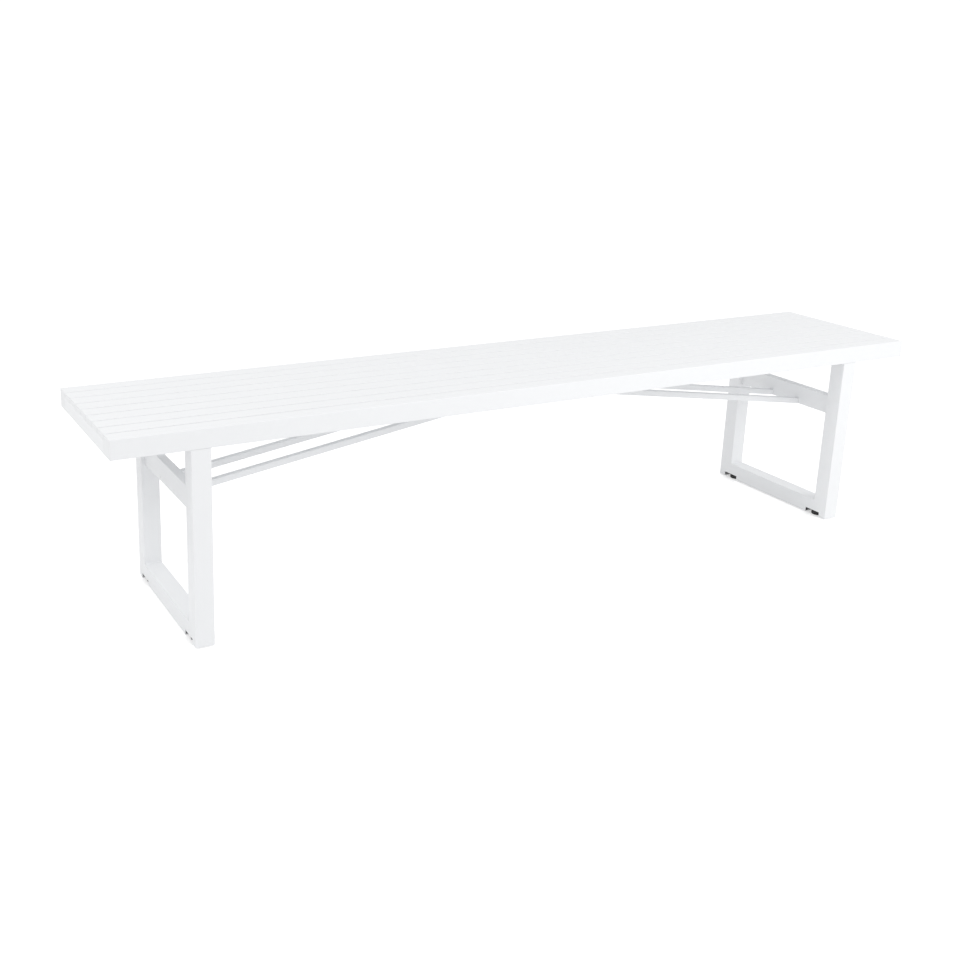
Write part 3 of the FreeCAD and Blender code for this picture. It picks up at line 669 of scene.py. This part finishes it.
coated_screw = new_finish(
    "white_coated_screw",
    colour=(0.83, 0.84, 0.85), patch_colour=(0.81, 0.82, 0.83),
    edge_colour=(0.70, 0.70, 0.70), dust_colour=(0.70, 0.69, 0.67),
    roughness=0.35, roughness_shift=0.04, lumps=900.0, grit=3500.0, grit_share=0.3, bump=0.00003,
    edge_strength=0.6, edge_reach=0.0005,
)
dress(coated_screw, "brace_screws")

mill_aluminium = new_finish(
    "mill_aluminium",
    colour=(0.62, 0.63, 0.64), patch_colour=(0.57, 0.58, 0.59),
    edge_colour=(0.75, 0.75, 0.76), dust_colour=(0.45, 0.44, 0.42),
    roughness=0.4, roughness_shift=0.1, lumps=1200.0, grit=5000.0, grit_share=0.6, bump=0.00002,
    edge_reach=0.0005, Metallic=1.0,
)
dress(mill_aluminium, "brace_foot_plugs")


HEAD_WELD_START = 3 * MM     # from the bench's middle
HEAD_WELD_INSET = 1.5 * MM   # from the plate's end


def brace_welds(shape):
    plate_low, plate_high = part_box("brace_top_plate")
    for name in BRACES:
        low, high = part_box(name)
        side = 1 if low[0] + high[0] > 0 else -1
        inner = HEAD_WELD_START * side
        outer = (plate_high[0] - HEAD_WELD_INSET) * side
        for y, out in ((low[1], -1), (high[1], 1)):
            add_bead(
                shape, (inner, y, plate_low[2]), (outer, y, plate_low[2]), (0, out, -1),
                STITCH_RADIUS,
            )


make_piece("brace_head_welds", brace_welds, powder_coat, "frame")
bolt_group("brace_plate_bolts", "brace_plate_bolts_threaded", M6, head=4 * MM)
nut_group("brace_plate_nuts", "brace_plate_nuts_chamfered", M6)

# --------------------------------------------------------------------- housings of the glides
# A black nylon block fills the bottom rail above each notch and holds an M8 nut. It is pushed
# in through the notch and grips the inside of the tube.

black_nylon = new_finish(
    "black_nylon",
    colour=(0.020, 0.020, 0.022), patch_colour=(0.028, 0.028, 0.029),
    edge_colour=(0.075, 0.075, 0.078), dust_colour=(0.16, 0.15, 0.135),
    roughness=0.52, roughness_shift=0.07, lumps=1400.0, grit=5200.0, grit_share=0.7, bump=0.00004,
    edge_strength=0.7, edge_reach=0.0007, dust_amount=0.35,
)
dress(black_nylon, "glide_housings")
nut_group("glide_nuts", "glide_nuts_chamfered", M8)

# ---------------------------------------------------------------------------- levelling glides
# A black nylon disc, moulded round the end of an M8 stud, stands on the floor in each notch.
# Twelve grip flutes run round its rim, so that fingers can turn it to level the bench.

FLUTES = 12
FLUTE_SEGMENTS = 12
PAD_PROFILE = (
    # radius and height in millimetres, from the middle of the sole, round the rim, to the neck
    (4.0, 0.5), (9.6, 0.5), (10.0, 0.0), (13.4, 0.0), (14.2, 0.25), (14.75, 0.75), (14.95, 1.5),
    (14.95, 2.2), (14.95, 6.6), (14.7, 7.4), (14.1, 7.85), (12.6, 8.9), (11.75, 10.0),
    (11.5, 11.1), (11.2, 11.4), (4.2, 11.4), (3.92, 11.1), (3.92, 4.2),
)
FLUTE_DEPTH = 0.8            # millimetres, like the two radii below
FLUTE_START = 14.0           # radius where the flutes begin
FLUTE_FULL = 14.7            # radius where they are fully deep
FLUTE_SHARPNESS = 1.5        # above 1, a flute is narrower than the land beside it
STUD_RADIUS = 3.92 * MM
STUD_BEVEL = 0.9 * MM


def add_glide_pad(shape, centre, floor):
    segments = FLUTES * FLUTE_SEGMENTS
    rings = []
    for radius, height in PAD_PROFILE:
        on_rim = max(0.0, min(1.0, (radius - FLUTE_START) / (FLUTE_FULL - FLUTE_START)))
        ring = []
        for i in range(segments):
            turn = 2 * math.pi * i / segments
            near_flute = max(0.0, math.cos(FLUTES * turn)) ** FLUTE_SHARPNESS
            size = (radius - FLUTE_DEPTH * near_flute * on_rim) * MM
            ring.append(ring_point(shape, centre, size, turn, floor + height * MM))
        rings.append(ring)
    bridge_rings(shape, rings)


for glide_side in ("left", "right"):
    for row in ("front", "back"):
        glide = f"{glide_side}_{row}_glide"
        pad_low, pad_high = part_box(f"{glide}_pad")
        stud_low, stud_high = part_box(f"{glide}_stud")
        axis = ((pad_low[0] + pad_high[0]) / 2, (pad_low[1] + pad_high[1]) / 2)

        def pad_mesh(shape):
            add_glide_pad(shape, axis, pad_low[2])

        def stud_mesh(shape):
            bridge_rings(shape, thread_rings(
                shape, axis, STUD_RADIUS, stud_low[2], stud_high[2], M8["pitch"], STUD_BEVEL
            ))

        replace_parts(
            make_piece(f"{glide}_disc", pad_mesh, black_nylon, glide), f"{glide}_pad"
        )
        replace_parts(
            make_piece(f"{glide}_thread", stud_mesh, zinc, glide), f"{glide}_stud"
        )

# ----------------------------------------------------------------------------- floor and light
# The bench stands on a plain pale studio floor under an even sky of white light. The largest
# soft box is in front of its right end. Two weaker ones lift its left end, and the front rail
# with the braces.

FLOOR_BOUNCE = 0.115         # light that the translucent floor gives to the bench from below
FLOOR_LIFT = 0.32            # extra glow in the picture, which keeps the shadows faint
FLOOR_RADIUS = 60.0
FLOOR_GAP = 0.2 * MM         # keeps the floor clear of the soles of the glides

floor_paint = bpy.data.materials.new("studio_floor")
floor_paint.use_nodes = True
floor_tree = floor_paint.node_tree
floor_shader = floor_tree.nodes["Principled BSDF"]
floor_shader.inputs["Roughness"].default_value = 0.9
floor_shader.inputs["Specular IOR Level"].default_value = 0.1
floor_shader.inputs["Emission Color"].default_value = (1.0, 1.0, 1.0, 1.0)
floor_sight = add_node(floor_tree, "ShaderNodeLightPath")
floor_glow = stretch(
    floor_tree, floor_sight.outputs["Is Camera Ray"], 0.0, 1.0,
    FLOOR_BOUNCE, FLOOR_BOUNCE + FLOOR_LIFT,
)
floor_tree.links.new(floor_glow, floor_shader.inputs["Emission Strength"])
floor_cloud = place_noise(floor_tree, 3.0, 3.0)
floor_tree.links.new(
    mix_colour(floor_tree, floor_cloud, (0.80, 0.80, 0.80), (0.82, 0.82, 0.82)),
    floor_shader.inputs["Base Color"],
)
floor_mesh = bpy.data.meshes.new("studio_floor")
floor_shape = bmesh.new()
bmesh.ops.create_circle(floor_shape, cap_ends=True, segments=96, radius=FLOOR_RADIUS)
floor_shape.to_mesh(floor_mesh)
floor_shape.free()
floor_mesh.materials.append(floor_paint)
floor = bpy.data.objects.new("studio_floor", floor_mesh)
floor.location.z = cad_low[2] - FLOOR_GAP
scene.collection.objects.link(floor)

SKY_LIGHT = 0.865            # the light that the bench gets from the sky
SKY_SEEN = 1.1               # the same sky in the picture, just past white

sky = bpy.data.worlds.new("white_studio")
sky.use_nodes = True
sky_tree = sky.node_tree
sky_light = sky_tree.nodes["Background"]
sky_light.inputs["Color"].default_value = (1.0, 1.0, 1.0, 1.0)
sky_sight = add_node(sky_tree, "ShaderNodeLightPath")
sky_tree.links.new(
    stretch(sky_tree, sky_sight.outputs["Is Camera Ray"], 0.0, 1.0, SKY_LIGHT, SKY_SEEN),
    sky_light.inputs["Strength"],
)
scene.world = sky


def soft_box(name, place, target, size, power):
    light = bpy.data.lights.new(name, "AREA")
    light.shape = "DISK"
    light.size = size
    light.energy = power
    lamp = bpy.data.objects.new(name, light)
    lamp.location = place
    lamp.rotation_euler = (Vector(target) - Vector(place)).to_track_quat("-Z", "Y").to_euler()
    scene.collection.objects.link(lamp)


soft_box("key_soft_box", (2.5, -2.5, 2.45), (0.5, 0.0, 0.3), 1.6, 31.5)
soft_box("left_soft_box", (-2.5, -0.4, 2.6), (-0.84, 0.0, 0.2), 0.9, 15.0)
soft_box("front_soft_box", (0.35, -1.35, 0.9), (0.3, 0.0, 0.4), 0.7, 1.6)

# ------------------------------------------------------------------------------------ camera
# The camera stands in front of the left end, a little above head height of a seated person,
# and looks down along the bench.

CAMERA_PLACE = (-1.5431, -2.2716, 1.1460)
CAMERA_YAW = math.radians(26.36)
CAMERA_PITCH = math.radians(-15.96)
CAMERA_ROLL = math.radians(0.93)
SENSOR = 36.0
FOCAL_SHARE = 1.27132        # focal length as a share of the picture's width
CAMERA_SHIFT = (0.1267, -0.0889)

camera_data = bpy.data.cameras.new("camera")
camera_data.sensor_width = SENSOR
camera_data.lens = SENSOR * FOCAL_SHARE
camera_data.shift_x, camera_data.shift_y = CAMERA_SHIFT
camera_data.clip_end = 2 * FLOOR_RADIUS
ahead = Vector((
    math.sin(CAMERA_YAW) * math.cos(CAMERA_PITCH),
    math.cos(CAMERA_YAW) * math.cos(CAMERA_PITCH),
    math.sin(CAMERA_PITCH),
))
level = Vector((math.cos(CAMERA_YAW), -math.sin(CAMERA_YAW), 0.0))
above = level.cross(ahead)
right = level * math.cos(CAMERA_ROLL) + above * math.sin(CAMERA_ROLL)
up = above * math.cos(CAMERA_ROLL) - level * math.sin(CAMERA_ROLL)
camera = bpy.data.objects.new("camera", camera_data)
turned = Matrix((right, up, -ahead)).transposed().to_4x4()
camera.matrix_world = Matrix.Translation(CAMERA_PLACE) @ turned
scene.collection.objects.link(camera)
scene.camera = camera
scene.view_settings.view_transform = "Standard"
